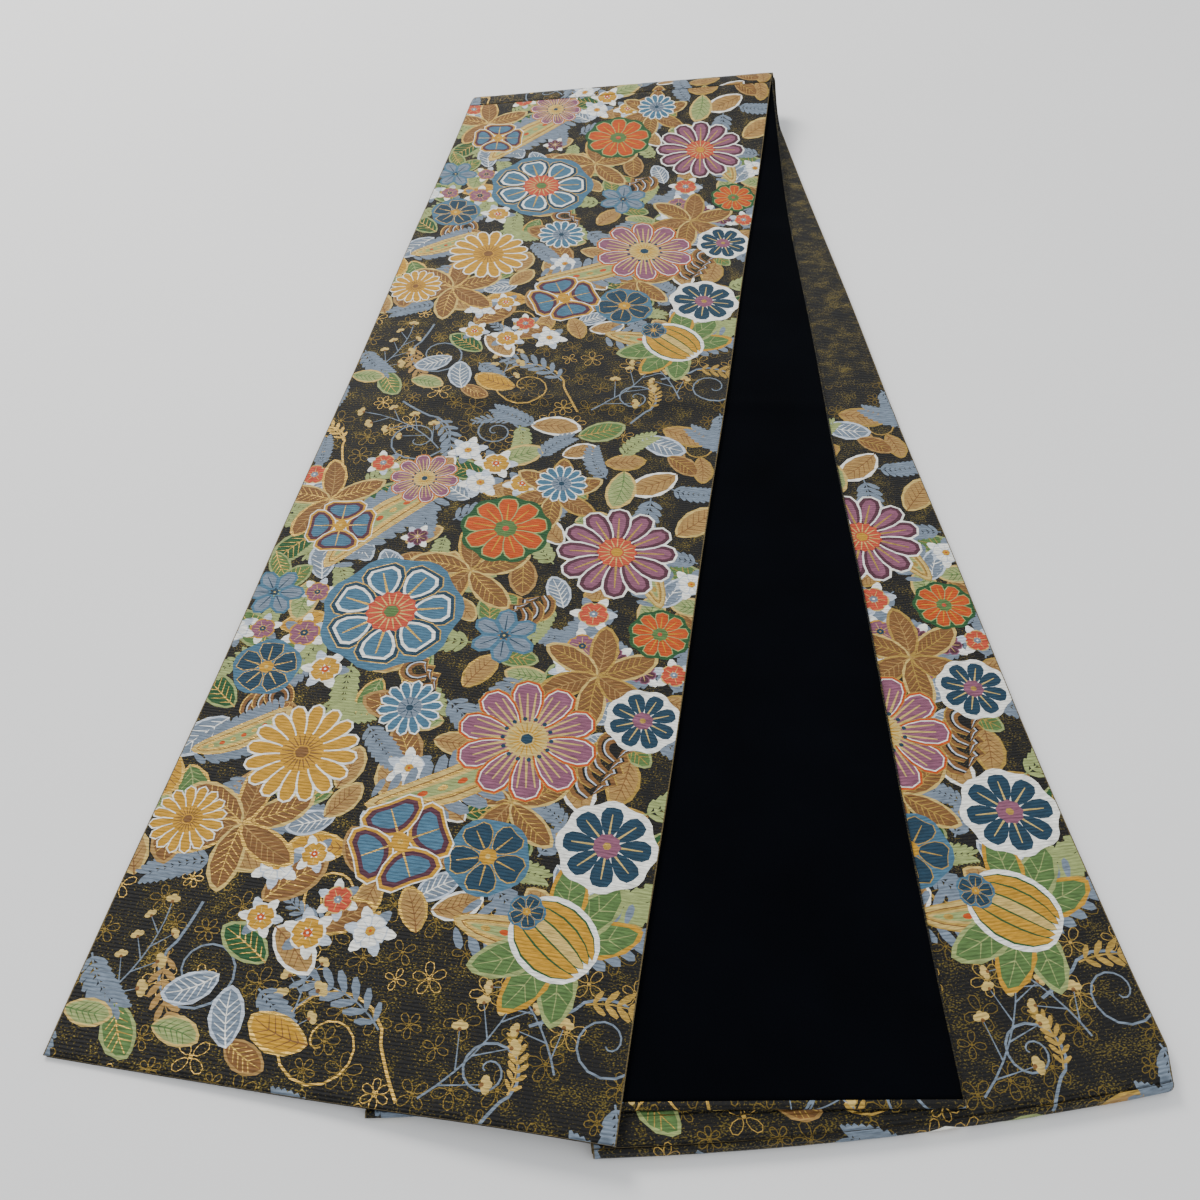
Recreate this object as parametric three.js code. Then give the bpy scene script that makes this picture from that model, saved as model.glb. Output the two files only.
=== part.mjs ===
// A double-faced woven obi sash, folded into four stretches that are fanned out on a table.
//
// The cloth is two plies sewn together along both selvedges: a figured brocade face and a plain
// black lining. From its free end the sash runs away along the top, turns over the outer far
// fold, comes back along the table, turns up over the near fold, runs away again, turns over the
// inner far fold and ends as the second stretch, lining side up, under the top one.
//
// Millimetres. +X runs across the sash, +Y along it from the free ends to the far folds, +Z up.
// The origin is on the table, under the middle of the bounding box.

import * as THREE from "three";

// Driving sizes of the cloth.
const cloth = {
  width: 310, // across the face, selvedge to selvedge
  liningInset: 1.5, // the lining is this much narrower on each side
  ply: 1.0, // thickness of the face and of the lining
  plyGap: 0.3, // between the face and the lining
  layerGap: 0.9, // air between two stretches that lie on each other
};
const layer = 2 * cloth.ply + cloth.plyGap;
const pitch = layer + cloth.layerGap;
const half = cloth.width / 2;

// The four stretches, from the table up. near is the middle of the near end and yaw is the
// angle from +Y, in degrees, clockwise from above. sweep is how far the near end of the cloth
// swings out to the right of that line, and bridge is how wide the stiff cloth spans from the
// edge of a lower stretch down to the table.
const stretches = {
  under: { level: 0, faceUp: false, near: [140.5, -511], yaw: -6.3, sweep: 8, bridge: 0 },
  third: { level: 1, faceUp: true, near: [140.5, -511], yaw: -6.3, sweep: 8, bridge: 0 },
  second: { level: 2, faceUp: false, near: [31.5, -505], yaw: -0.5, sweep: 0, bridge: 105 },
  top: { level: 3, faceUp: true, near: [-146.5, -503], yaw: 9.3, sweep: 0, bridge: 135 },
};
const sweepShare = 0.5; // share of the length that swings
const flatPast = 32; // a lower stretch holds the next one level this far past its own edge

// The near fold, where the under stretch turns up into the third.
const nearFold = {
  puff: 3.2, // extra height of the soft roll
  puffReach: 70, // how far in from the roll the puff dies out
  bulge: 6, // how far the middle of the roll stands out
  tuck: 5, // how far its right corner is drawn in
  tuckReach: 18,
};

// The far folds, where the stretches lift off the table in a loop that is higher at its right.
const farFold = {
  rise: 253, // y where the upper stretches start to rise
  top: 504, // y where they meet the folds
  bottom: 476, // y where the lower stretches leave the table
  nose: 527, // y of the tip, between the outer and the inner cloth
  leftX: -132,
  rightX: 176,
  leftHeight: 16,
  rightHeight: 42,
  tipRadius: 7, // how far the tip curves down before it faces straight out
  tipReach: 14, // how far the upper cloth runs on before it curves over
  baseReach: 34, // how far the lower cloth lifts gently from the table
  fullness: 0.3, // share of the loop's height that runs straight down
};

// The turned end of the second stretch, with its sections as shares of its depth.
const hem = { depth: 4, height: 3.0, sections: [0.02, 0.2, 0.5, 0.8, 1] };

const columns = 10; // facets across a stretch
const foldRows = 7; // facets along each half of a far fold
const seam = 0.3; // between two pieces that follow each other along the sash
const seamShare = 0.006; // the same gap as a share of a far fold's length
const foldTurns = 8; // facets round the near fold

const lerp = (a, b, t) => a + (b - a) * t;
// Goes from 0 to 1 with no kink at either end.
const smooth = (t) => {
  const c = THREE.MathUtils.clamp(t, 0, 1);
  return c * c * (3 - 2 * c);
};

// Where a stretch's own (across, along) lies in plan, and the way back.
function frameOf(stretch) {
  const a = THREE.MathUtils.degToRad(stretch.yaw);
  return {
    across: new THREE.Vector2(Math.cos(a), -Math.sin(a)),
    along: new THREE.Vector2(Math.sin(a), Math.cos(a)),
    near: new THREE.Vector2(...stretch.near),
  };
}

function planToCloth(stretch, x, y) {
  const f = frameOf(stretch);
  const p = new THREE.Vector2(x, y).sub(f.near);
  return { u: p.dot(f.across), s: p.dot(f.along) };
}

// How much of a lower stretch's thickness the cloth above feels at a point: 1 over it, and
// dying out past its left and near edges.
function cover(lower, upper, x, y) {
  const { u, s } = planToCloth(lower, x, y);
  const past = (d) => 1 - smooth((d - flatPast) / upper.bridge);
  return past(-half - u) * past(-s);
}

function tipHeight(x) {
  const t = (x - farFold.leftX) / (farFold.rightX - farFold.leftX);
  return lerp(farFold.leftHeight, farFold.rightHeight, THREE.MathUtils.clamp(t, 0, 1));
}

function puffAt(x, y) {
  const { s } = planToCloth(stretches.third, x, y);
  return nearFold.puff * (1 - smooth(s / nearFold.puffReach));
}

// Height of a stretch's underside.
function underside(stretch, x, y) {
  if (stretch.level === 0) return 0;
  const puff = puffAt(x, y);
  if (stretch.level === 1) return pitch + puff;
  let z = 0;
  for (const lower of Object.values(stretches)) {
    if (lower.level < stretch.level) z += pitch * cover(lower, stretch, x, y);
  }
  z += puff * cover(stretches.third, stretch, x, y);
  return z + (tipHeight(x) - 3 * pitch) * riseShare(y) ** 2;
}

// The rise to the far fold is a parabola: its share of the way, and its slope.
function riseShare(y) {
  return THREE.MathUtils.clamp((y - farFold.rise) / (farFold.top - farFold.rise), 0, 1);
}

function riseSlope(x, y) {
  return (2 * (tipHeight(x) - 3 * pitch) * riseShare(y)) / (farFold.top - farFold.rise);
}

// Plan position of a column of the cloth, u from the middle, a share t of the way from the near
// end to the line y = far, along which all the stretches end.
function inPlan(stretch, u, far, t) {
  const f = frameOf(stretch);
  const start = f.near.clone().addScaledVector(f.across, u);
  const length = (far - start.y) / f.along.y;
  const swing = stretch.sweep * Math.max(0, 1 - t / sweepShare) ** 2;
  return start.addScaledVector(f.along, length * t).addScaledVector(f.across, swing);
}

// A closed shell from two grids of points, the first above or outside the second.
function shell(outer, inner) {
  const rows = outer.length;
  const cols = outer[0].length;
  const position = [...outer.flat(), ...inner.flat()].flatMap((p) => [p.x, p.y, p.z]);
  const at = (side, r, c) => side * rows * cols + r * cols + c;
  const index = [];
  const quad = (a, b, c, d) => index.push(a, b, c, a, c, d);
  for (let r = 0; r < rows - 1; r++) {
    for (let c = 0; c < cols - 1; c++) {
      quad(at(0, r, c), at(0, r, c + 1), at(0, r + 1, c + 1), at(0, r + 1, c));
      quad(at(1, r, c), at(1, r + 1, c), at(1, r + 1, c + 1), at(1, r, c + 1));
    }
    quad(at(0, r, 0), at(0, r + 1, 0), at(1, r + 1, 0), at(1, r, 0));
    quad(at(0, r + 1, cols - 1), at(0, r, cols - 1), at(1, r, cols - 1), at(1, r + 1, cols - 1));
  }
  for (let c = 0; c < cols - 1; c++) {
    quad(at(0, 0, c + 1), at(0, 0, c), at(1, 0, c), at(1, 0, c + 1));
    quad(at(0, rows - 1, c), at(0, rows - 1, c + 1), at(1, rows - 1, c + 1), at(1, rows - 1, c));
  }
  const geometry = new THREE.BufferGeometry();
  geometry.setAttribute("position", new THREE.Float32BufferAttribute(position, 3));
  geometry.setIndex(index);
  return geometry;
}

// Places of the columns across the cloth, from its left edge to its right.
const across = (inset) =>
  Array.from({ length: columns + 1 }, (_, c) => lerp(inset - half, half - inset, c / columns));

// Shares of a stretch's length at which it has a section, closer where it bends.
const sections = {
  flat: [0, 0.012, 0.025, 0.04, 0.055, 0.07, 0.15, 0.25, 0.35, 0.5, 1],
  rising: [0, 0.02, 0.04, 0.07, 0.15, 0.25, 0.35, 0.45, 0.55, 0.65, 0.74, 0.79, 0.84, 0.88, 0.92, 0.96, 1],
};

// The near roll's outline: how far it stands out and how far its right corner is drawn in.
function nearShape(u, s) {
  const out = nearFold.bulge * (1 - (u / half) ** 2);
  const tuck = nearFold.tuck * Math.max(0, u / half) ** 8 * (1 - smooth(s / nearFold.tuckReach));
  return { out, tuck };
}

// One ply of a stretch. from and to are heights above the stretch's underside.
function stretchPly(name, inset, from, to) {
  const stretch = stretches[name];
  const far = stretch.level >= 2 ? farFold.top : farFold.bottom;
  const folded = stretch.level <= 1;
  const grid = (height) =>
    sections[folded ? "flat" : "rising"].map((t) =>
      across(inset).map((u) => {
        const p = inPlan(stretch, u, far, t);
        if (folded) {
          const { along, across: side } = frameOf(stretch);
          const s = planToCloth(stretch, p.x, p.y).s;
          const { out, tuck } = nearShape(u, s);
          const fade = 1 - smooth(s / (2 * nearFold.puffReach));
          p.addScaledVector(along, -out * fade).addScaledVector(side, -tuck);
        }
        // Where the cloth slopes up to the far fold, its thickness is square to the slope.
        const offset = (stretch.level - 3) * pitch + cloth.layerGap / 2 + height;
        const tilt = folded ? 0 : Math.atan(riseSlope(p.x, p.y));
        const z = underside(stretch, p.x, p.y) + height - offset * (1 - Math.cos(tilt));
        return new THREE.Vector3(p.x, p.y - offset * Math.sin(tilt), z);
      }),
    );
  return shell(grid(to), grid(from));
}

// The line that runs between the outer and the inner cloth round the far loop, at one x: out
// along the top, over the tip and back down to the table. t is 0 at the top and 1 at the table.
function loopLine(x, t) {
  const tip = tipHeight(x);
  const slope = riseSlope(x, farFold.top);
  const start = new THREE.Vector2(farFold.top, tip - cloth.layerGap / 2);
  const nose = new THREE.Vector2(farFold.nose, tip - farFold.tipRadius);
  const end = new THREE.Vector2(farFold.bottom, layer + cloth.layerGap / 2);
  const overTip = new THREE.CubicBezierCurve(
    start,
    start.clone().add(new THREE.Vector2(farFold.tipReach, farFold.tipReach * slope)),
    nose.clone().add(new THREE.Vector2(0, farFold.tipRadius)),
    nose,
  );
  const backDown = new THREE.CubicBezierCurve(
    nose,
    nose.clone().add(new THREE.Vector2(0, -nose.y * farFold.fullness)),
    end.clone().add(new THREE.Vector2(farFold.baseReach, 0)),
    end,
  );
  const curve = t < 0.5 ? overTip : backDown;
  const k = t < 0.5 ? 2 * t : 2 * t - 1;
  const point = curve.getPoint(k);
  const way = curve.getTangent(k);
  return { point, outward: new THREE.Vector2(-way.y, way.x) };
}

// One ply of a far fold that joins an upper stretch to a lower one. from and to are distances
// from the loop line, outwards.
function farFoldPly(upper, lower, inset, from, to) {
  const shares = Array.from({ length: 2 * foldRows + 1 }, (_, i) => i / (2 * foldRows));
  const reach = (t) => t * (1 - 2 * seamShare) + seamShare;
  const grid = (offset) =>
    shares.map((share) => {
      const t = reach(share);
      return across(inset).map((u) => {
        const a = inPlan(stretches[upper], u, farFold.top, 1);
        const b = inPlan(stretches[lower], u, farFold.bottom, 1);
        const x = lerp(a.x, b.x, t);
        const { point, outward } = loopLine(x, t);
        point.addScaledVector(outward, offset);
        return new THREE.Vector3(x, point.x, point.y);
      });
    });
  return shell(grid(to), grid(from));
}

// One ply of the near fold. from and to are distances from its middle line, outwards.
function nearFoldPly(inset, from, to) {
  const turns = Array.from({ length: foldTurns + 1 }, (_, i) => Math.PI * (i / foldTurns - 0.5));
  const { along, across: side } = frameOf(stretches.third);
  const middle = layer + cloth.layerGap / 2;
  const grid = (offset) =>
    turns.map((turn) =>
      across(inset).map((u) => {
        const { out, tuck } = nearShape(u, 0);
        const p = inPlan(stretches.third, u, farFold.bottom, 0).addScaledVector(side, -tuck);
        const depth = cloth.layerGap / 2 + offset;
        // The upper half of the roll is the taller one, by the puff.
        const rise = turn > 0 ? depth + nearFold.puff : depth;
        p.addScaledVector(along, -out - seam - depth * Math.cos(turn));
        return new THREE.Vector3(p.x, p.y, middle + rise * Math.sin(turn));
      }),
    );
  return shell(grid(to), grid(from));
}

// The face cloth turned over the end of the second stretch, a lens-shaped bar.
function endHem() {
  const stretch = stretches.second;
  const { along } = frameOf(stretch);
  const grid = (sign) =>
    hem.sections.map((share) =>
      across(0).map((u) => {
        const p = inPlan(stretch, u, farFold.top, 0);
        const z = underside(stretch, p.x, p.y) + layer / 2;
        p.addScaledVector(along, -seam - hem.depth * (1 - share));
        const thick = (hem.height / 2) * Math.sqrt(1 - (1 - share) ** 2);
        return new THREE.Vector3(p.x, p.y, z + sign * thick);
      }),
    );
  return shell(grid(1), grid(-1));
}

const brocade = new THREE.MeshStandardMaterial({
  name: "brocade",
  color: 0x8a7350,
  roughness: 0.5,
  metalness: 0.15,
});
const plainWeave = new THREE.MeshStandardMaterial({
  name: "lining",
  color: 0x07070b,
  roughness: 0.75,
  metalness: 0,
});

const sash = new THREE.Group();
sash.name = "obiSash";

function add(name, geometry, material) {
  const mesh = new THREE.Mesh(geometry, material);
  mesh.name = name;
  sash.add(mesh);
}

const lowPly = [0, cloth.ply];
const highPly = [cloth.ply + cloth.plyGap, layer];
for (const [name, stretch] of Object.entries(stretches)) {
  const [facePly, liningPly] = stretch.faceUp ? [highPly, lowPly] : [lowPly, highPly];
  add(`${name}Face`, stretchPly(name, 0, ...facePly), brocade);
  add(`${name}Lining`, stretchPly(name, cloth.liningInset, ...liningPly), plainWeave);
}

const inner = cloth.layerGap / 2;
const plies = {
  near: [inner, inner + cloth.ply],
  away: [inner + cloth.ply + cloth.plyGap, inner + layer],
};
const inwards = ([from, to]) => [-to, -from];
add("outerFarFoldFace", farFoldPly("top", "under", 0, ...plies.away), brocade);
add("outerFarFoldLining", farFoldPly("top", "under", cloth.liningInset, ...plies.near), plainWeave);
add("innerFarFoldFace", farFoldPly("second", "third", 0, ...inwards(plies.away)), brocade);
add(
  "innerFarFoldLining",
  farFoldPly("second", "third", cloth.liningInset, ...inwards(plies.near)),
  plainWeave,
);
add("nearFoldFace", nearFoldPly(0, ...highPly), brocade);
add("nearFoldLining", nearFoldPly(cloth.liningInset, ...lowPly), plainWeave);
add("secondEndHem", endHem(), brocade);

export default sash;
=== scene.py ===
import math
import random

import bpy
import numpy as np
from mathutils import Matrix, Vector
from mathutils.bvhtree import BVHTree
from mathutils.geometry import delaunay_2d_cdt


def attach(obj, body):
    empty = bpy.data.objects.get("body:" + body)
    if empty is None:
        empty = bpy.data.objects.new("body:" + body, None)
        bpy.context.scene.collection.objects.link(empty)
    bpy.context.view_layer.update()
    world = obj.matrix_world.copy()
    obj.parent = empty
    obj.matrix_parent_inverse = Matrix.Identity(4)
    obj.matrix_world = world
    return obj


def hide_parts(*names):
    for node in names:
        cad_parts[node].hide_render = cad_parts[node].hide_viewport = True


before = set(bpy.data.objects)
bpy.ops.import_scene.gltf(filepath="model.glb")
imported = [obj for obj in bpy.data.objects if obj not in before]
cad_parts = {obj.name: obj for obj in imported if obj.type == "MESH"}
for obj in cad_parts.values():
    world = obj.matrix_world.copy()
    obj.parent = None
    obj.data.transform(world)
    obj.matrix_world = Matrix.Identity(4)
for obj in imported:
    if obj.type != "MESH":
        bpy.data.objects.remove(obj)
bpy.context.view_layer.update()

# Everything is worked out in millimetres and turned to metres when a mesh is made.
# A place on the cloth is (u, v): u across from the middle, v along from the near end of its stretch.
mm = 0.001

cloth = {
    "width": 310.0,
    "liningInset": 1.5,  # the face shows as a narrow selvedge beside the lining
    "selvedge": 0.7,  # the plain woven edge of a figured stretch
    "ply": 1.0,
    "plyGap": 0.3,
    "layerGap": 0.9,
    "repeat": 540.0,  # length of one pattern repeat
}
layer = 2 * cloth["ply"] + cloth["plyGap"]
pitch = layer + cloth["layerGap"]
half = cloth["width"] / 2
facePly = (cloth["ply"] + cloth["plyGap"], layer)  # heights in a stretch that lies face up
liningPly = (0.0, cloth["ply"])

stretches = {
    "under": {"level": 0, "near": (140.5, -511.0), "yaw": -6.3, "sweep": 8.0, "bridge": 0.0},
    "third": {"level": 1, "near": (140.5, -511.0), "yaw": -6.3, "sweep": 8.0, "bridge": 0.0},
    "second": {"level": 2, "near": (31.5, -505.0), "yaw": -0.5, "sweep": 0.0, "bridge": 105.0},
    "top": {"level": 3, "near": (-146.5, -503.0), "yaw": 9.3, "sweep": 0.0, "bridge": 135.0},
}
sweepShare = 0.5
flatPast = 32.0

nearFold = {"puff": 3.2, "puffReach": 70.0, "bulge": 6.0, "tuck": 5.0, "tuckReach": 18.0}

farFold = {
    "rise": 253.0,
    "top": 504.0,
    "bottom": 476.0,
    "nose": 527.0,
    "leftX": -132.0,
    "rightX": 176.0,
    "leftHeight": 16.0,
    "rightHeight": 42.0,
    "tipRadius": 7.0,
    "tipReach": 14.0,
    "baseReach": 34.0,
    "fullness": 0.3,
}

# Creases from storage cross the whole stack; each is a soft ridge with its own slope and ends.
creases = [
    {"y": 42.0, "slope": -0.030, "height": 1.9, "width": 7.0},
    {"y": 20.0, "slope": -0.012, "height": -0.7, "width": 11.0},
    {"y": -236.0, "slope": 0.014, "height": 1.0, "width": 9.0},
    {"y": 292.0, "slope": -0.020, "height": 0.8, "width": 10.0},
]


def smooth(t):
    c = np.clip(t, 0.0, 1.0)
    return c * c * (3 - 2 * c)


def axesOf(name):
    a = math.radians(stretches[name]["yaw"])
    return np.array([math.cos(a), -math.sin(a)]), np.array([math.sin(a), math.cos(a)])


def planToCloth(name, x, y):
    across, along = axesOf(name)
    dx = x - stretches[name]["near"][0]
    dy = y - stretches[name]["near"][1]
    return dx * across[0] + dy * across[1], dx * along[0] + dy * along[1]


def tipHeight(x):
    t = np.clip((x - farFold["leftX"]) / (farFold["rightX"] - farFold["leftX"]), 0, 1)
    return farFold["leftHeight"] + (farFold["rightHeight"] - farFold["leftHeight"]) * t


def riseShare(y):
    return np.clip((y - farFold["rise"]) / (farFold["top"] - farFold["rise"]), 0, 1)


def riseSlope(x, y):
    return 2 * (tipHeight(x) - 3 * pitch) * riseShare(y) / (farFold["top"] - farFold["rise"])


def cover(lower, bridge, x, y):
    u, s = planToCloth(lower, x, y)
    return (1 - smooth((-half - u - flatPast) / bridge)) * (1 - smooth((-s - flatPast) / bridge))


def puffAt(x, y):
    return nearFold["puff"] * (1 - smooth(planToCloth("third", x, y)[1] / nearFold["puffReach"]))


def underside(name, x, y):
    level, bridge = stretches[name]["level"], stretches[name]["bridge"]
    if level == 0:
        return np.zeros_like(x)
    if level == 1:
        return pitch + puffAt(x, y)
    z = np.zeros_like(x)
    for lower, row in stretches.items():
        if row["level"] < level:
            z = z + pitch * cover(lower, bridge, x, y)
    z = z + puffAt(x, y) * cover("third", bridge, x, y)
    return z + (tipHeight(x) - 3 * pitch) * riseShare(y) ** 2


def waves(x, y):
    # long, low waves of stiff cloth, and the creases across the stack
    z = 0.55 * np.sin(x / 61 + y / 97) + 0.4 * np.sin(y / 44 - x / 83 + 1.3)
    z = z + 0.22 * np.sin(x / 23 + 0.7) * np.sin(y / 31)
    for c in creases:
        away = (y - c["y"] - c["slope"] * x - 2.5 * np.sin(x / 37 + c["y"])) / c["width"]
        z = z + c["height"] * np.exp(-away * away) * (0.75 + 0.25 * np.sin(x / 29 + c["y"]))
    return z


def startOf(name, u):
    across = axesOf(name)[0]
    near = stretches[name]["near"]
    return near[0] + across[0] * u, near[1] + across[1] * u


def lengthOf(name, u):
    # cut length of a stretch at u, from its near end to the line where the far folds start
    far = farFold["top"] if stretches[name]["level"] >= 2 else farFold["bottom"]
    return (far - startOf(name, u)[1]) / axesOf(name)[1][1]


def inPlan(name, u, s):
    across, along = axesOf(name)
    x0, y0 = startOf(name, u)
    t = s / lengthOf(name, u)
    swing = stretches[name]["sweep"] * np.maximum(0, 1 - t / sweepShare) ** 2
    wander = 0.5 * np.sin(s / 53 + stretches[name]["level"]) * np.abs(u / half)
    return x0 + along[0] * s + across[0] * (swing + wander), y0 + along[1] * s + across[1] * swing


def nearShape(u, s):
    out = nearFold["bulge"] * (1 - (u / half) ** 2)
    tuck = nearFold["tuck"] * np.maximum(0, u / half) ** 8 * (1 - smooth(s / nearFold["tuckReach"]))
    return out, tuck


def stretchPoint(name, u, s, h):
    # h is the height above the stretch's underside
    level = stretches[name]["level"]
    x, y = inPlan(name, u, s)
    if level <= 1:
        across, along = axesOf(name)
        out, tuck = nearShape(u, s)
        fade = 1 - smooth(s / (2 * nearFold["puffReach"]))
        x = x - along[0] * out * fade - across[0] * tuck
        y = y - along[1] * out * fade - across[1] * tuck
    z = underside(name, x, y)
    lying = np.clip(z / (3 * pitch), 0, 1) * (1 - riseShare(y)) * (level > 0)
    tilt = np.arctan(riseSlope(x, y)) if level >= 2 else 0 * x
    offset = (level - 3) * pitch + cloth["layerGap"] / 2 + h
    z = z + h - offset * (1 - np.cos(tilt)) + waves(x, y) * lying
    return np.stack([x, y - offset * np.sin(tilt), z], -1)


def bezier(a, b, c, d, t):
    w = [(1 - t) ** 3, 3 * t * (1 - t) ** 2, 3 * t * t * (1 - t), t ** 3]
    g = [3 * (1 - t) ** 2, 6 * t * (1 - t), 3 * t * t]
    point = [w[0] * a[i] + w[1] * b[i] + w[2] * c[i] + w[3] * d[i] for i in (0, 1)]
    way = [g[0] * (b[i] - a[i]) + g[1] * (c[i] - b[i]) + g[2] * (d[i] - c[i]) for i in (0, 1)]
    return point, way


def farFoldPoint(upper, lower, u, t, h):
    # t runs from the upper stretch round to the lower one; h is the distance out from the
    # line between the outer and the inner cloth
    x = startOf(upper, u)[0] + axesOf(upper)[1][0] * lengthOf(upper, u)
    xLow = startOf(lower, u)[0] + axesOf(lower)[1][0] * lengthOf(lower, u)
    x = x + (xLow - x) * t
    tip = tipHeight(x)
    slope = riseSlope(x, farFold["top"] + 0 * x)
    top, nose, bottom = farFold["top"] + 0 * x, farFold["nose"] + 0 * x, farFold["bottom"] + 0 * x
    noseZ = tip - farFold["tipRadius"]
    startZ = tip - cloth["layerGap"] / 2
    endZ = layer + cloth["layerGap"] / 2 + 0 * x
    reach = farFold["tipReach"]
    over, overWay = bezier(
        (top, startZ), (top + reach, startZ + reach * slope), (nose, tip), (nose, noseZ),
        np.clip(2 * t, 0, 1),
    )
    back, backWay = bezier(
        (nose, noseZ), (nose, noseZ * (1 - farFold["fullness"])),
        (bottom + farFold["baseReach"], endZ), (bottom, endZ), np.clip(2 * t - 1, 0, 1),
    )
    first = t < 0.5
    y, z = (np.where(first, over[i], back[i]) for i in (0, 1))
    wy, wz = (np.where(first, overWay[i], backWay[i]) for i in (0, 1))
    size = np.maximum(np.hypot(wy, wz), 1e-9)
    return np.stack([x, y - h * wz / size, z + h * wy / size], -1)


def nearFoldPoint(u, turn, h):
    # turn runs from the lower stretch, -90 degrees, to the upper one, 90 degrees
    across, along = axesOf("third")
    out, tuck = nearShape(u, 0 * u)
    x, y = inPlan("third", u, 0 * u)
    depth = cloth["layerGap"] / 2 + h
    rise = depth + nearFold["puff"] * (turn > 0)
    back = out + 0.3 + depth * np.cos(turn)
    x = x - across[0] * tuck - along[0] * back
    y = y - across[1] * tuck - along[1] * back
    return np.stack([x, y, layer + cloth["layerGap"] / 2 + rise * np.sin(turn)], -1)


# Dyed silk and gold yarns: sRGB hex, then how much of the yarn is gold leaf.
yarns = {
    "ground": ("#090807", 0.0),
    "plain": ("#090806", 0.0),
    "gold": ("#a88843", 0.85),
    "darkGold": ("#6e5a26", 0.7),
    "selvedge": ("#5c4f30", 0.1),
    "white": ("#dad9d0", 0.0),
    "pearl": ("#abb4be", 0.0),
    "ochre": ("#ac7f20", 0.15),
    "cream": ("#b69c58", 0.1),
    "orange": ("#a8420c", 0.0),
    "coral": ("#a94129", 0.0),
    "mauve": ("#76475a", 0.0),
    "plum": ("#47232f", 0.0),
    "blue": ("#3b5f74", 0.0),
    "navy": ("#143243", 0.0),
    "green": ("#4a6534", 0.0),
    "darkGreen": ("#1c4622", 0.0),
    "sage": ("#858f58", 0.0),
    "brown": ("#6d4a24", 0.0),
    "tan": ("#94733f", 0.05),
    "greyBlue": ("#66727f", 0.0),
}
yarnNames = list(yarns)

shapes = []  # (points, yarn, lift) in the order that they are laid on each other


def lay(points, yarn, lift=0.0):
    # outlines run anticlockwise, as the triangulation needs
    points = np.asarray(points, float)
    after = np.roll(points, -1, 0)
    area = (points[:, 0] * after[:, 1] - after[:, 0] * points[:, 1]).sum()
    shapes.append((points if area > 0 else points[::-1], yarn, lift))


def placed(points, at, turn):
    c, s = math.cos(turn), math.sin(turn)
    return np.stack([at[0] + points[:, 0] * c - points[:, 1] * s,
                     at[1] + points[:, 0] * s + points[:, 1] * c], -1)


def bent(points, length, bend):
    if abs(bend) < 1e-3:
        return points
    a = bend * points[:, 0] / length
    r = length / bend
    return np.stack([(r - points[:, 1]) * np.sin(a), r - (r - points[:, 1]) * np.cos(a)], -1)


def petal(length, width, point=1.0, belly=0.4, notch=0.0, count=14, start=0.0):
    # a petal or leaf along +x: point over 1 sharpens its ends, belly moves its bulk to the tip
    a = np.linspace(0, 2 * math.pi, count, endpoint=False)
    along = (1 - np.cos(a)) / 2
    side = np.sign(np.sin(a)) * np.abs(np.sin(a)) ** point * (0.3 + along) ** belly
    side = side / max(1e-6, np.abs(side).max()) * width / 2
    along = along * length - notch * length * np.exp(-(side / (0.18 * width)) ** 2) * (along > 0.6)
    return np.stack([along + start, side], -1)


def stroke(path, width, yarn, lift=0.15):
    # a line of thread, thinning to its far end
    path = np.asarray(path, float)
    way = np.gradient(path, axis=0)
    way = way / np.maximum(np.hypot(way[:, 0], way[:, 1]), 1e-9)[:, None]
    side = np.stack([-way[:, 1], way[:, 0]], -1)
    taper = (width / 2 * np.linspace(1, 0.45, len(path)))[:, None]
    lay(np.concatenate([path + side * taper, (path - side * taper)[::-1]]), yarn, lift)


def ring(at, radius, petals, depth, turn=0.0, count=6):
    # a scalloped outline
    a = np.linspace(0, 2 * math.pi, petals * count, endpoint=False)
    r = radius * (1 - depth + depth * np.abs(np.cos(a * petals / 2)) ** 0.6)
    return np.stack([at[0] + r * np.cos(a + turn), at[1] + r * np.sin(a + turn)], -1)


def spokes(at, inner, outer, number, width, yarn, turn=0.0):
    for k in range(number):
        a = turn + 2 * math.pi * k / number
        c, s = math.cos(a), math.sin(a)
        stroke([(at[0] + r * c, at[1] + r * s) for r in (inner, outer)], width, yarn, 0.3)


def dots(at, radius, number, size, yarn, turn=0.0):
    for k in range(number):
        a = turn + 2 * math.pi * k / number
        lay(ring((at[0] + radius * math.cos(a), at[1] + radius * math.sin(a)), size, 3, 0, 0, 2),
            yarn, 0.35)


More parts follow.
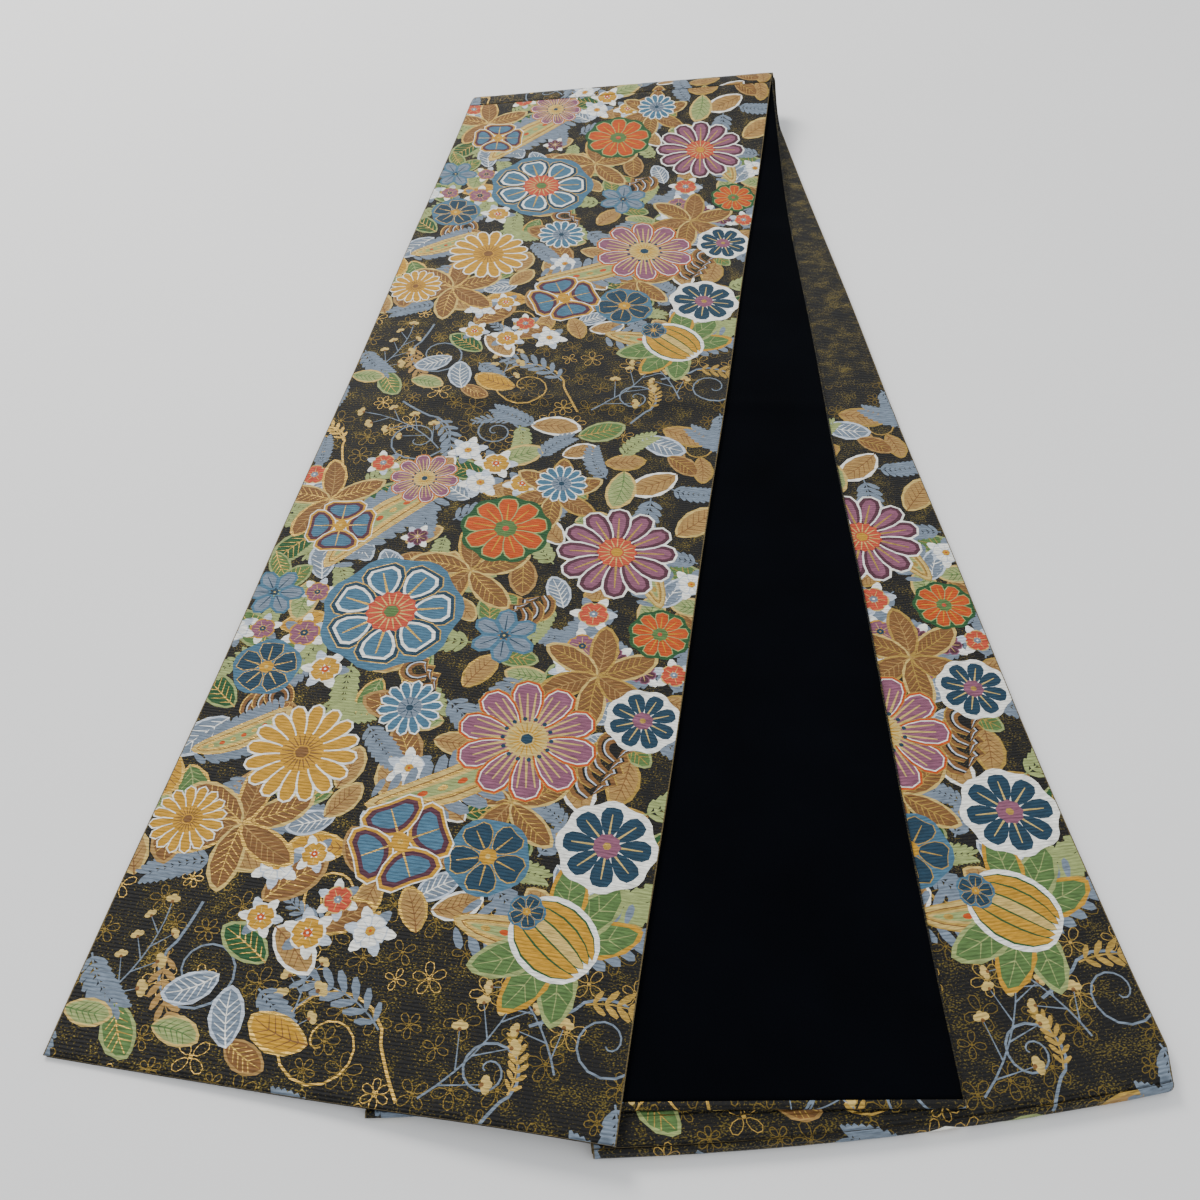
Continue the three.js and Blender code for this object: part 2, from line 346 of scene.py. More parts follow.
def flower(at, radius, kind, turn):
    # kind is a row of flowerKinds: an outer silhouette, then petals in layers, then the eye
    n = kind["petals"]
    gap = 2 * math.pi / n
    if "back" in kind:
        lay(ring(at, radius, n, 0.14, turn, 5 if radius > 18 else 4), kind["back"], 0.1)
    reach = radius * kind.get("reach", 0.95)
    base = radius * kind["eye"] * 0.6
    for k in range(n):
        a = turn + gap * k
        for inset, yarn, lift in kind["layers"]:
            length = reach - base - 2 * inset * radius
            width = 2 * (base + (reach - base) * 0.62) * math.tan(gap / 2) * kind.get("full", 1.0)
            width -= 2 * inset * radius
            if width < 0.6 or length < 1:
                continue
            count = 12 if radius > 24 else 8
            shape = petal(length, width, kind.get("point", 0.9), 0.55, kind.get("notch", 0.0),
                          count, base + inset * radius)
            lay(placed(shape, at, a), yarn, lift)
        for side in kind.get("veins", ()):
            path = [(base + (reach - base) * t, side * radius * 0.05 * (1 + 2 * t))
                    for t in (0.12, 0.72)]
            stroke(placed(np.array(path), at, a), radius * 0.035 + 0.25, kind["vein"])
    eye = radius * kind["eye"]
    lay(ring(at, eye, kind.get("eyeLobes", 8), kind.get("eyeDepth", 0.12), turn, 2), kind["eyeYarn"], 0.3)
    if "spoke" in kind:
        spokes(at, eye * 0.35, eye * 0.86, kind.get("spokes", 14), radius * 0.02 + 0.3, kind["spoke"], turn)
    if "bead" in kind:
        dots(at, eye * 1.12, 14, radius * 0.035, kind["bead"], turn)
    lay(ring(at, eye * 0.3, 6, 0.1, turn, 2), kind["pip"], 0.4)


flowerKinds = {
    "wheel": {
        "petals": 7, "back": "blue", "reach": 0.91, "full": 0.98, "notch": 0.06, "eye": 0.36,
        "layers": [(0.0, "gold", 0.12), (0.016, "navy", 0.2), (0.07, "white", 0.35),
                   (0.115, "blue", 0.25)],
        "veins": (0,), "vein": "gold", "eyeYarn": "coral", "eyeLobes": 14, "eyeDepth": 0.1,
        "spoke": "cream", "spokes": 18, "pip": "green",
    },
    "daisy": {
        "petals": 10, "reach": 1.0, "full": 1.08, "notch": 0.0, "eye": 0.3, "point": 0.8,
        "layers": [(0.0, "gold", 0.1), (0.012, "orange", 0.15), (0.045, "white", 0.25),
                   (0.062, "mauve", 0.3)],
        "veins": (-1, 0, 1), "vein": "cream", "eyeYarn": "cream", "eyeLobes": 18, "eyeDepth": 0.06,
        "spoke": "ochre", "spokes": 20, "bead": "navy", "pip": "navy",
    },
    "mum": {
        "petals": 16, "reach": 1.0, "full": 1.1, "eye": 0.42, "point": 0.8,
        "layers": [(0.0, "white", 0.2), (0.035, "ochre", 0.3)],
        "veins": (), "vein": "cream", "eyeYarn": "ochre", "eyeLobes": 16, "eyeDepth": 0.1,
        "spoke": "brown", "spokes": 22, "pip": "brown",
    },
    "orangeBloom": {
        "petals": 9, "back": "darkGreen", "reach": 0.94, "full": 0.98, "notch": 0.05, "eye": 0.26,
        "layers": [(0.0, "sage", 0.15), (0.03, "orange", 0.3)],
        "veins": (0,), "vein": "ochre", "eyeYarn": "green", "eyeLobes": 8, "pip": "coral",
    },
    "pansy": {
        "petals": 4, "reach": 1.0, "full": 0.92, "notch": 0.1, "eye": 0.2,
        "layers": [(0.0, "white", 0.12), (0.03, "ochre", 0.18), (0.1, "plum", 0.28), (0.2, "blue", 0.3)],
        "veins": (0,), "vein": "gold", "eyeYarn": "ochre", "eyeLobes": 6, "pip": "gold",
    },
    "violet": {
        "petals": 5, "back": "blue", "reach": 0.95, "full": 0.8, "notch": 0.1, "eye": 0.22,
        "layers": [(0.02, "gold", 0.15), (0.045, "navy", 0.28)],
        "veins": (0,), "vein": "gold", "eyeYarn": "ochre", "eyeLobes": 7, "pip": "cream",
    },
    "scallop": {
        "petals": 8, "back": "white", "reach": 0.9, "full": 0.92, "eye": 0.28, "notch": 0.03,
        "layers": [(0.02, "navy", 0.22)],
        "veins": (0,), "vein": "cream", "eyeYarn": "mauve", "eyeLobes": 9, "pip": "gold",
    },
    "dahlia": {
        "petals": 12, "reach": 1.0, "full": 1.15, "eye": 0.34, "point": 0.8,
        "layers": [(0.0, "white", 0.15), (0.035, "plum", 0.28), (0.1, "mauve", 0.3)],
        "veins": (0,), "vein": "gold", "eyeYarn": "coral", "eyeLobes": 14, "spoke": "cream",
        "spokes": 16, "pip": "ochre",
    },
    "aster": {
        "petals": 14, "reach": 1.0, "full": 1.1, "eye": 0.4, "point": 1.0,
        "layers": [(0.0, "white", 0.15), (0.05, "blue", 0.28)],
        "veins": (), "vein": "pearl", "eyeYarn": "greyBlue", "eyeLobes": 12, "spoke": "navy",
        "spokes": 10, "pip": "navy",
    },
    "starBlue": {
        "petals": 6, "reach": 1.0, "full": 0.85, "eye": 0.14, "point": 1.5,
        "layers": [(0.0, "blue", 0.2), (0.09, "greyBlue", 0.28)],
        "veins": (0,), "vein": "navy", "eyeYarn": "navy", "eyeLobes": 6, "pip": "cream",
    },
    "whiteBlossom": {
        "petals": 5, "reach": 1.0, "full": 1.0, "notch": 0.06, "eye": 0.3,
        "layers": [(0.0, "pearl", 0.12), (0.08, "white", 0.25)],
        "veins": (0,), "vein": "pearl", "eyeYarn": "ochre", "eyeLobes": 6, "pip": "orange",
    },
    "coralBlossom": {
        "petals": 5, "back": "cream", "reach": 0.97, "full": 0.95, "notch": 0.08, "eye": 0.28,
        "layers": [(0.03, "coral", 0.25)],
        "veins": (0,), "vein": "cream", "eyeYarn": "greyBlue", "eyeLobes": 6, "pip": "white",
    },
    "mauveBlossom": {
        "petals": 5, "back": "ochre", "reach": 0.96, "full": 0.96, "notch": 0.08, "eye": 0.26,
        "layers": [(0.05, "mauve", 0.25)],
        "veins": (0,), "vein": "cream", "eyeYarn": "navy", "eyeLobes": 6, "pip": "gold",
    },
    "yellowBlossom": {
        "petals": 5, "back": "white", "reach": 0.95, "full": 0.96, "notch": 0.08, "eye": 0.26,
        "layers": [(0.04, "ochre", 0.25)],
        "veins": (0,), "vein": "cream", "eyeYarn": "orange", "eyeLobes": 6, "pip": "white",
    },
    "plumBlossom": {
        "petals": 6, "reach": 1.0, "full": 1.0, "eye": 0.24, "point": 1.1,
        "layers": [(0.0, "mauve", 0.15), (0.09, "plum", 0.28)],
        "veins": (0,), "vein": "cream", "eyeYarn": "gold", "eyeLobes": 6, "pip": "white",
    },
}


def leaf(at, turn, length, width, rim, body, vein, bend=0.3, pairs=5):
    def put(points):
        return placed(bent(points, length, bend), at, turn)
    lay(put(petal(length, width, 1.35, 0.1, 0, 12)), rim, 0.1)
    inner = petal(length * 0.9, width * 0.78, 1.35, 0.1, 0, 10, length * 0.04)
    lay(put(inner), body, 0.22)
    stroke(put(np.stack([np.linspace(0, length * 0.9, 5), np.zeros(5)], -1)), 0.9, vein)
    for k in range(pairs):
        x = length * (0.14 + 0.62 * k / pairs)
        reach = width * 0.36 * math.sin(math.pi * (0.2 + 0.65 * k / pairs))
        for side in (-1, 1):
            ends = np.array([(x, 0.3 * side), (x + reach * 0.9, side * reach)])
            stroke(put(ends), 0.75, vein)


def frond(at, turn, length, leaflet, yarn, bend=0.5, number=9, lift=0.2):
    # leaflets down both sides of a bent rib
    for k in range(number):
        t = (k + 0.6) / number
        size = leaflet * (0.45 + 0.55 * math.sin(math.pi * (0.15 + 0.75 * t)))
        for side in (-1, 1):
            root = bent(np.array([(length * t, 0.0)]), length, bend)[0]
            own = bend * t + side * (0.85 - 0.3 * t)
            shape = placed(petal(size, size * 0.34, 1.1, 0.3, 0, 7), root, own)
            lay(placed(shape, at, turn), yarn, lift)
    rib = bent(np.stack([np.linspace(0, length, 7), np.zeros(7)], -1), length, bend)
    stroke(placed(rib, at, turn), 1.1, yarn, lift)


def feather(at, turn, length, width, bend):
    # a long curved plume: fringe, cream band, gold outline and a dotted heart
    def put(points):
        return placed(bent(points, length, bend), at, turn)
    for k in range(12):
        t = (k + 0.5) / 12
        size = width * (0.5 + 0.35 * math.sin(math.pi * t))
        for side in (-1, 1):
            root = (length * t * 0.95, side * width * 0.18)
            lay(put(placed(petal(size, size * 0.36, 1.0, 0.4, 0, 8), root, side * 0.95)), "greyBlue", 0.12)
    bands = ((0.92, "gold", 0.18), (0.84, "cream", 0.22), (0.62, "brown", 0.24), (0.56, "gold", 0.26),
             (0.44, "cream", 0.3), (0.3, "sage", 0.3))
    for share, yarn, lift in bands:
        reach = length * (0.62 + 0.4 * share)
        lay(put(petal(reach, width * share, 1.2, 0.0, 0, 18, (length - reach) * 0.4)), yarn, lift)
    for k in range(7):
        spot = petal(length * 0.055, width * 0.15, 1.0, 0.2, 0, 7, length * (0.16 + 0.1 * k))
        lay(put(spot), "orange" if k % 2 else "gold", 0.35)


def curls(at, turn, size, number):
    # fronds that roll over, one inside another
    for k in range(number):
        root = (at[0] + k * size * 0.52 * math.cos(turn), at[1] + k * size * 0.52 * math.sin(turn))
        for share, yarn in ((1.0, "gold"), (0.93, "brown"), (0.74, "ground"), (0.64, "pearl"),
                            (0.56, "brown"), (0.36, "ground")):
            r = size * share * (1 - 0.07 * k)
            a = np.linspace(-0.15 * math.pi, 1.0 * math.pi, 12)
            arc = np.stack([r * np.cos(a) * 0.8, r * np.sin(a)], -1)
            foot = np.array([(-r * 0.62, -size * 0.35), (r * 0.45, -size * 0.35 * share)])
            lay(placed(np.concatenate([arc, foot]), root, turn - 0.5), yarn, 0.12 + 0.1 * (1 - share))


def scroll(at, turn, size, yarn, turns=1.5, width=1.6, hand=1, tail=0.9):
    a = np.linspace(0, turns * 2 * math.pi, int(16 * turns))
    r = size * (1 - a / a[-1]) ** 0.75 + 0.06 * size
    path = np.stack([r * np.cos(a) - size, hand * r * np.sin(a)], -1)
    lead = np.linspace(1, 0, 6)[:-1]
    start = np.stack([0.15 * size * lead ** 2 * tail, -hand * size * 1.5 * lead * tail], -1)
    path = placed(np.concatenate([start, path]), at, turn)
    stroke(path, width, yarn, 0.18)


def outlineFlower(at, radius, turn, petals, yarn="gold"):
    # thread loops only, as in gold net work: the ground shows inside them
    for k in range(petals):
        a = turn + 2 * math.pi * k / petals
        lay(placed(petal(radius, radius * 0.62, 0.9, 0.35, 0, 8, radius * 0.12), at, a), yarn, 0.1)
    for k in range(petals):
        a = turn + 2 * math.pi * k / petals
        shape = petal(radius - 1.0, radius * 0.62 - 1.0, 0.9, 0.35, 0, 8, radius * 0.12 + 0.5)
        lay(placed(shape, at, a), "ground", 0.0)
    lay(ring(at, radius * 0.13, 3, 0, turn, 2), yarn, 0.15)


def spray(at, turn, length, dice):
    # a thin twig with small cream blossoms at the ends of its side shoots
    stem = bent(np.stack([np.linspace(0, length, 9), np.zeros(9)], -1), length, 0.7)
    ends = []
    for k in range(7):
        t = 0.22 + 0.78 * k / 6
        root = stem[min(8, int(t * 8))]
        a = 0.7 * t + (0.75 if k % 2 else -0.7) * (k < 6)
        reach = length * 0.24 * (1.15 - 0.4 * t)
        ends.append((root + reach * np.array([math.cos(a), math.sin(a)]), a))
        stroke(placed(np.stack([root, ends[-1][0]]), at, turn), 0.9, "greyBlue")
    stroke(placed(stem, at, turn), 1.2, "greyBlue")
    for end, a in ends:
        size = dice.uniform(4.0, 6.2)
        for k in (-1, 0, 1):
            shape = petal(size, size * 0.72, 0.9, 0.5, 0.1, 9)
            lay(placed(placed(shape, end, a + k * 0.95), at, turn), "cream", 0.22)
        lay(placed(ring(end, size * 0.22, 4, 0, 0, 2), at, turn), "brown", 0.3)


def melon(at, radius, turn):
    # a striped fruit on its leaves
    for k, a in enumerate((-2.5, -1.9, -1.2, 2.6, 2.0, 1.35)):
        leaf(at, turn + a, radius * 1.9, radius * 0.85, "sage" if k % 2 else "ochre", "green",
             "sage", 0.5 if a < 0 else -0.5, 4)
    lay(placed(petal(2 * radius, 1.75 * radius, 0.85, 0.0, 0, 22, -radius), at, turn), "white", 0.25)
    for row in (-0.66, -0.34, 0.0, 0.34, 0.66):
        for width, yarn, lift in ((0.27, "darkGreen", 0.25), (0.21, "ochre" if row else "cream", 0.4)):
            rib = petal(1.8 * radius, width * radius * 1.5, 1.2, 0.0, 0, 14, -0.9 * radius)
            rib[:, 1] += 0.86 * row * radius * np.sqrt(np.clip(1 - (rib[:, 0] / radius) ** 2, 0.05, 1))
            lay(placed(rib, at, turn), yarn, lift)
    flower((at[0] + radius * 0.85 * math.cos(turn), at[1] + radius * 0.85 * math.sin(turn)),
           radius * 0.42, flowerKinds["violet"], turn)


# The large flowers of one repeat: u and v of the middle, radius and turn.
bigFlowers = [
    {"kind": "wheel", "u": -52, "v": 322, "r": 51, "turn": 0.2},
    {"kind": "daisy", "u": 62, "v": 232, "r": 46, "turn": 0.5},
    {"kind": "mum", "u": -78, "v": 204, "r": 37, "turn": 0.0},
    {"kind": "dahlia", "u": 94, "v": 400, "r": 44, "turn": 0.1},
    {"kind": "orangeBloom", "u": 10, "v": 410, "r": 34, "turn": 0.3},
    {"kind": "pansy", "u": 2, "v": 150, "r": 32, "turn": 0.5},
    {"kind": "violet", "u": 56, "v": 148, "r": 26, "turn": 0.9},
    {"kind": "scallop", "u": 124, "v": 166, "r": 31, "turn": 0.0},
    {"kind": "aster", "u": -18, "v": 245, "r": 22, "turn": 0.2},
    {"kind": "pansy", "u": -112, "v": 398, "r": 27, "turn": 0.1},
    {"kind": "violet", "u": -124, "v": 266, "r": 24, "turn": 0.4},
    {"kind": "mum", "u": -132, "v": 148, "r": 24, "turn": 0.3},
    {"kind": "starBlue", "u": 30, "v": 312, "r": 24, "turn": 0.6},
    {"kind": "scallop", "u": 132, "v": 258, "r": 25, "turn": 0.4},
    {"kind": "daisy", "u": -62, "v": 452, "r": 27, "turn": 0.0},
    {"kind": "orangeBloom", "u": 134, "v": 330, "r": 22, "turn": 0.2},
    {"kind": "starBlue", "u": -140, "v": 330, "r": 22, "turn": 0.1},
    {"kind": "aster", "u": 42, "v": 462, "r": 20, "turn": 0.5},
]

# Where the black ground lies open: ellipses by middle and half axes.
openGround = [
    {"u": 78, "v": 52, "across": 118, "along": 62},
    {"u": -92, "v": 512, "across": 84, "along": 46},
    {"u": -118, "v": 78, "across": 48, "along": 40},
]

# Where small blossoms crowd together.
clusters = [
    {"u": -118, "v": 300, "across": 40, "along": 62},
    {"u": 118, "v": 310, "across": 46, "along": 46},
    {"u": -40, "v": 462, "across": 66, "along": 26},
    {"u": -30, "v": 112, "across": 44, "along": 28},
]

leafKinds = [
    ("gold", "brown", "tan"), ("cream", "tan", "brown"), ("sage", "green", "gold"),
    ("gold", "green", "sage"), ("tan", "brown", "gold"), ("pearl", "greyBlue", "white"),
    ("sage", "darkGreen", "gold"), ("gold", "tan", "brown"), ("cream", "sage", "green"),
    ("gold", "ochre", "brown"), ("white", "tan", "brown"), ("pearl", "greyBlue", "white"),
]
smallKinds = ["whiteBlossom", "coralBlossom", "mauveBlossom", "yellowBlossom", "plumBlossom"]


def wrapped(dv):
    return (dv + cloth["repeat"] / 2) % cloth["repeat"] - cloth["repeat"] / 2


def within(places, u, v, grow=1.0):
    return any((((u - o["u"]) / o["across"]) ** 2 + (wrapped(v - o["v"]) / o["along"]) ** 2) < grow
               for o in places)


def scatter(dice, spacing, tries, test, taken):
    # places at least their own size apart, round the repeat as well
    found = []
    for _ in range(tries):
        u, v = dice.uniform(-half - 4, half + 4), dice.uniform(0, cloth["repeat"])
        r = dice.uniform(*spacing)
        if not test(u, v):
            continue
        if all(math.hypot(u - a, wrapped(v - b)) > r + c for a, b, c in taken + found):
            found.append((u, v, r))
    return found


# Plumes, rolled fronds and leaf stars, which lie on the bed of leaves.
plumes = [
    {"u": -28, "v": 172, "turn": 0.2, "length": 128, "width": 27, "bend": 0.8},
    {"u": -112, "v": 356, "turn": 1.25, "length": 120, "width": 28, "bend": -0.7},
    {"u": 44, "v": 108, "turn": -0.25, "length": 112, "width": 25, "bend": 0.7},
    {"u": 132, "v": 352, "turn": 1.9, "length": 100, "width": 24, "bend": 0.6},
    {"u": -150, "v": 196, "turn": 0.3, "length": 70, "width": 20, "bend": 0.7},
]
rolledFronds = [
    {"u": 108, "v": 206, "turn": 1.2, "size": 19, "number": 4},
    {"u": -10, "v": 262, "turn": 2.2, "size": 16, "number": 3},
    {"u": 46, "v": 344, "turn": 4.0, "size": 17, "number": 3},
    {"u": -118, "v": 232, "turn": 0.8, "size": 15, "number": 3},
]
leafStars = [
    {"u": -98, "v": 150, "number": 6, "length": 46},
    {"u": 98, "v": 288, "number": 6, "length": 44},
    {"u": -6, "v": 366, "number": 5, "length": 46},
    {"u": 62, "v": 186, "number": 5, "length": 40},
    {"u": -128, "v": 424, "number": 5, "length": 44},
    {"u": 40, "v": 452, "number": 6, "length": 38},
]
# Scrolls and sprays of the open ground.
grandScrolls = [
    {"u": 20, "v": 40, "size": 30, "turn": 0.4, "hand": 1},
    {"u": 128, "v": 70, "size": 24, "turn": 2.2, "hand": -1},
    {"u": 70, "v": 96, "size": 20, "turn": 3.5, "hand": 1},
    {"u": -70, "v": 520, "size": 27, "turn": 1.2, "hand": -1},
    {"u": -138, "v": 488, "size": 20, "turn": 0.2, "hand": 1},
    {"u": -110, "v": 66, "size": 24, "turn": 2.8, "hand": 1},
    {"u": -20, "v": 96, "size": 18, "turn": 5.2, "hand": -1},
    {"u": 96, "v": 16, "size": 17, "turn": 5.6, "hand": 1},
    {"u": 132, "v": 500, "size": 18, "turn": 4.4, "hand": -1},
    {"u": -10, "v": 524, "size": 16, "turn": 0.9, "hand": 1},
]
sprays = [
    {"u": 50, "v": 8, "turn": 0.7, "length": 92},
    {"u": 118, "v": 30, "turn": 1.9, "length": 70},
    {"u": -60, "v": 486, "turn": 2.3, "length": 78},
    {"u": -34, "v": 24, "turn": 1.2, "length": 60},
    {"u": -140, "v": 30, "turn": 0.9, "length": 66},
]


# What is strewn by chance: sizes in mm, and how many places are tried.
strewn = {
    "seed": 41,
    "filigree": {"size": (6.0, 10.5), "tries": 1400},
    "bed": {"size": (8.0, 12.5), "tries": 2200, "frondShare": 0.24},
    "crowded": {"size": (8.0, 11.5), "tries": 1500},
    "stray": {"size": (7.5, 11.0), "tries": 60},
}


def strew(dice, name, test, taken):
    return scatter(dice, strewn[name]["size"], strewn[name]["tries"], test, taken)


def drawOpenGround(dice, detail):
    if detail:
        def test(u, v):
            return within(openGround, u, v, 1.3)
        for u, v, r in strew(dice, "filigree", test, []):
            outlineFlower((u, v), r, dice.uniform(0, 6), dice.choice((4, 5, 5, 6)),
                          dice.choice(("gold", "darkGold", "darkGold")))
    for k, row in enumerate(grandScrolls):
        at = (row["u"], row["v"])
        scroll(at, row["turn"], row["size"], "greyBlue" if k % 2 else "gold", 1.6, 1.8, row["hand"])
        frond(at, row["turn"] + 1.9 * row["hand"], row["size"] * 1.9, row["size"] * 0.5,
              ("greyBlue", "gold", "tan")[k % 3], 0.9 * row["hand"], 7)
    for row in sprays:
        spray((row["u"], row["v"]), row["turn"], row["length"], dice)


def drawBed(dice, detail):
    # leaves and fronds between the flowers
    for u, v, r in strew(dice, "bed", lambda u, v: not within(openGround, u, v), []):
        turn = dice.uniform(0, 2 * math.pi)
        start = (u - 1.4 * r * math.cos(turn), v - 1.4 * r * math.sin(turn))
        if dice.random() < strewn["bed"]["frondShare"]:
            yarn = dice.choice(("greyBlue", "greyBlue", "sage"))
            frond(start, turn, r * 3.6, r * 1.3, yarn, dice.uniform(-0.9, 0.9), 9)
        else:
            rim, body, vein = dice.choice(leafKinds)
            bend = dice.uniform(-0.7, 0.7)
            leaf(start, turn, r * 3.5, r * 2.0, rim, body, vein, bend, 5 if detail else 0)


def drawRepeat(detail):
    # one repeat, from the ground up; detail False leaves the fine lines out
    shapes.clear()
    dice = random.Random(strewn["seed"])
    taken = [(f["u"], f["v"], f["r"] * 0.95) for f in bigFlowers]
    drawOpenGround(dice, detail)
    drawBed(dice, detail)

    def inCluster(u, v):
        return within(clusters, u, v)

    def anywhere(u, v):
        return not within(openGround, u, v, 1.1)

    small = strew(dice, "crowded", inCluster, taken)
    small += strew(dice, "stray", anywhere, taken + small)
    for u, v, r in small:
        row = flowerKinds[dice.choice(smallKinds)]
        turn = dice.uniform(0, 2 * math.pi)
        for k in range(6):
            a = turn + 0.5 + 2 * math.pi * k / 6
            tip = petal(r * 1.55, r * 0.7, 1.25, 0.1, 0, 9)
            lay(placed(tip, (u, v), a), ("white", "pearl", "white", "greyBlue")[k % 4], 0.12)
        flower((u, v), r * 1.02, row if detail else {**row, "veins": ()}, turn)
    for row in leafStars:
        for k in range(row["number"]):
            turn = 0.4 + 2 * math.pi * k / row["number"]
            rim, vein = ("gold", "tan") if k % 2 else ("cream", "gold")
            middle, length = (row["u"], row["v"]), row["length"]
            leaf(middle, turn, length, length * 0.46, rim, "brown", vein, 0.3, 6)
    for row in rolledFronds:
        curls((row["u"], row["v"]), row["turn"], row["size"], row["number"])
    for row in plumes:
        feather((row["u"], row["v"]), row["turn"], row["length"], row["width"], row["bend"])
    melon((104, 104), 27, 2.5)
    for row in sorted(bigFlowers, key=lambda f: f["r"]):
        kind = flowerKinds[row["kind"]]
        flower((row["u"], row["v"]), row["r"], kind if detail else {**kind, "veins": ()}, row["turn"])
    return list(shapes)


def boundsOf(corners):
    low = [min(c[i] for c in corners) for i in (0, 1)]
    high = [max(c[i] for c in corners) for i in (0, 1)]
    return low, high


outlineSlack = 0.07  # mm that a point may lie off a straight run and still be dropped


def straightened(places, edges, slack):
    # drops the points that lie on a straight run of an outline
    near = {}
    for a, b in edges.tolist():
        near.setdefault(a, set()).add(b)
        near.setdefault(b, set()).add(a)
    for _ in range(3):
        for i in list(near):
            if len(near[i]) != 2:
                continue
            a, b = near[i]
            way, own = places[b] - places[a], places[i] - places[a]
            if b in near[a] or abs(way[0] * own[1] - way[1] * own[0]) > slack * math.hypot(*way):
                continue
            near[a].discard(i)
            near[b].discard(i)
            near[a].add(b)
            near[b].add(a)
            del near[i]
    return np.array([(a, b) for a in near for b in near[a] if a < b], int).reshape(-1, 2)


def edgesBetweenLooks(triangles, looks):
    # so that what other shapes cover costs nothing
    edges = np.sort(np.concatenate([triangles[:, pair] for pair in ([0, 1], [1, 2], [2, 0])]), 1)
    code = np.tile(looks, 3)
    unique, where, count = np.unique(edges, axis=0, return_inverse=True, return_counts=True)
    where = where.ravel()
    least, most = np.full(len(unique), 1e9), np.full(len(unique), -1.0)
    np.minimum.at(least, where, code)
    np.maximum.at(most, where, code)
    return unique[(count > 1) & (least != most)]


def splitLongLinks(nodes, links, step):
    # a long straight edge gets points of its own, so that it follows the cloth's bends
    chains = []
    for a, b in links:
        parts = math.ceil((nodes[b] - nodes[a]).length / step)
        between = [nodes[a].lerp(nodes[b], k / parts) for k in range(1, parts)]
        run = [a, *range(len(nodes), len(nodes) + len(between)), b]
        nodes += between
        chains += list(zip(run, run[1:]))
    return chains


def triangulate(corners, step, repeatShapes, plainFrom=None):
    # cuts a panel of the cloth into triangles whose edges follow every shape of the pattern
    low, high = boundsOf(corners)
    points = [Vector(c) for c in corners]
    faces = [list(range(len(corners)))]
    kinds = [("ground", 0.0)]

    def addShape(outline, yarn, lift):
        first = len(points)
        points.extend(Vector(p) for p in outline)
        faces.append(list(range(first, first + len(outline))))
        kinds.append((yarn, lift))

    for k in range(math.floor(low[1] / cloth["repeat"]) - 1, math.ceil(high[1] / cloth["repeat"]) + 1):
        for outline, yarn, lift in repeatShapes:
            moved = outline + np.array([0, k * cloth["repeat"]])
            box = moved.min(0), moved.max(0)
            if box[1][1] < low[1] or box[0][1] > high[1] or box[1][0] < low[0] or box[0][0] > high[0]:
                continue
            addShape(moved, yarn, lift)
    if plainFrom is not None:
        addShape([(low[0], plainFrom), (high[0], plainFrom), (high[0], high[1] + 1), (low[0], high[1] + 1)],
                 "plain", 0.0)
    if repeatShapes:
        for side in (-1, 1):
            a, b = side * half, side * (half - cloth["selvedge"])
            addShape([(min(a, b), low[1] - 1), (max(a, b), low[1] - 1), (max(a, b), high[1] + 1),
                      (min(a, b), high[1] + 1)], "selvedge", 0.0)
    out = delaunay_2d_cdt(points, [], faces, 0, 0.01, True)
    first = np.array([tuple(p) for p in out[0]])
    inside = [(t, max(owners)) for t, owners in zip(out[2], out[5]) if 0 in owners]
    firstTris = np.array([t for t, _ in inside])
    looks = np.array([yarnNames.index(kinds[top][0]) for _, top in inside])
    lifts = np.array([kinds[top][1] for _, top in inside])
    kept = edgesBetweenLooks(firstTris, looks * 100 + (lifts * 100).astype(int))
    links = straightened(first, kept, outlineSlack)
    used, inverse = np.unique(links, return_inverse=True)
    nodes = [Vector(first[i]) for i in used]
    chains = splitLongLinks(nodes, inverse.astype(int).reshape(links.shape).tolist(), step)
    loose = [Vector((u, v))
             for u in np.arange(low[0] + step / 2, high[0], step)
             for v in np.arange(low[1] + step / 2, high[1], step)]
    rim = []
    for a, b in zip(corners, corners[1:] + corners[:1]):
        parts = math.ceil(math.dist(a, b) / step)
        rim += [Vector(a).lerp(Vector(b), k / parts) for k in range(parts)]
    seen = len(nodes)
    out = delaunay_2d_cdt(nodes + rim + loose, chains, [list(range(seen, seen + len(rim)))], 0, 0.01, True)
    coords = np.array([tuple(p) for p in out[0]])
    triangles = np.array([t for t, owners in zip(out[2], out[5]) if owners])
    under = BVHTree.FromPolygons([(x, y, 0.0) for x, y in first], firstTris.tolist())
    middles = coords[triangles].mean(1)
    found = []
    for x, y in middles:
        hit = under.ray_cast(Vector((x, y, 1.0)), Vector((0, 0, -1)))[2]
        found.append(under.find_nearest(Vector((x, y, 0.0)))[2] if hit is None else hit)
    return coords, triangles, looks[found], lifts[found]


def rimOf(triangles):
    # the panel's outline as a loop of vertices, anticlockwise
    count = {}
    for a, b, c in triangles:
        for e in ((a, b), (b, c), (c, a)):
            count[(min(e), max(e))] = count.get((min(e), max(e)), 0) + 1
    after = {}
    for a, b, c in triangles:
        for e in ((a, b), (b, c), (c, a)):
            if count[(min(e), max(e))] == 1:
                after[e[0]] = e[1]
    start = next(iter(after))
    loop = [start]
    for _ in range(len(after) - 1):
        loop.append(after[loop[-1]])
    return loop


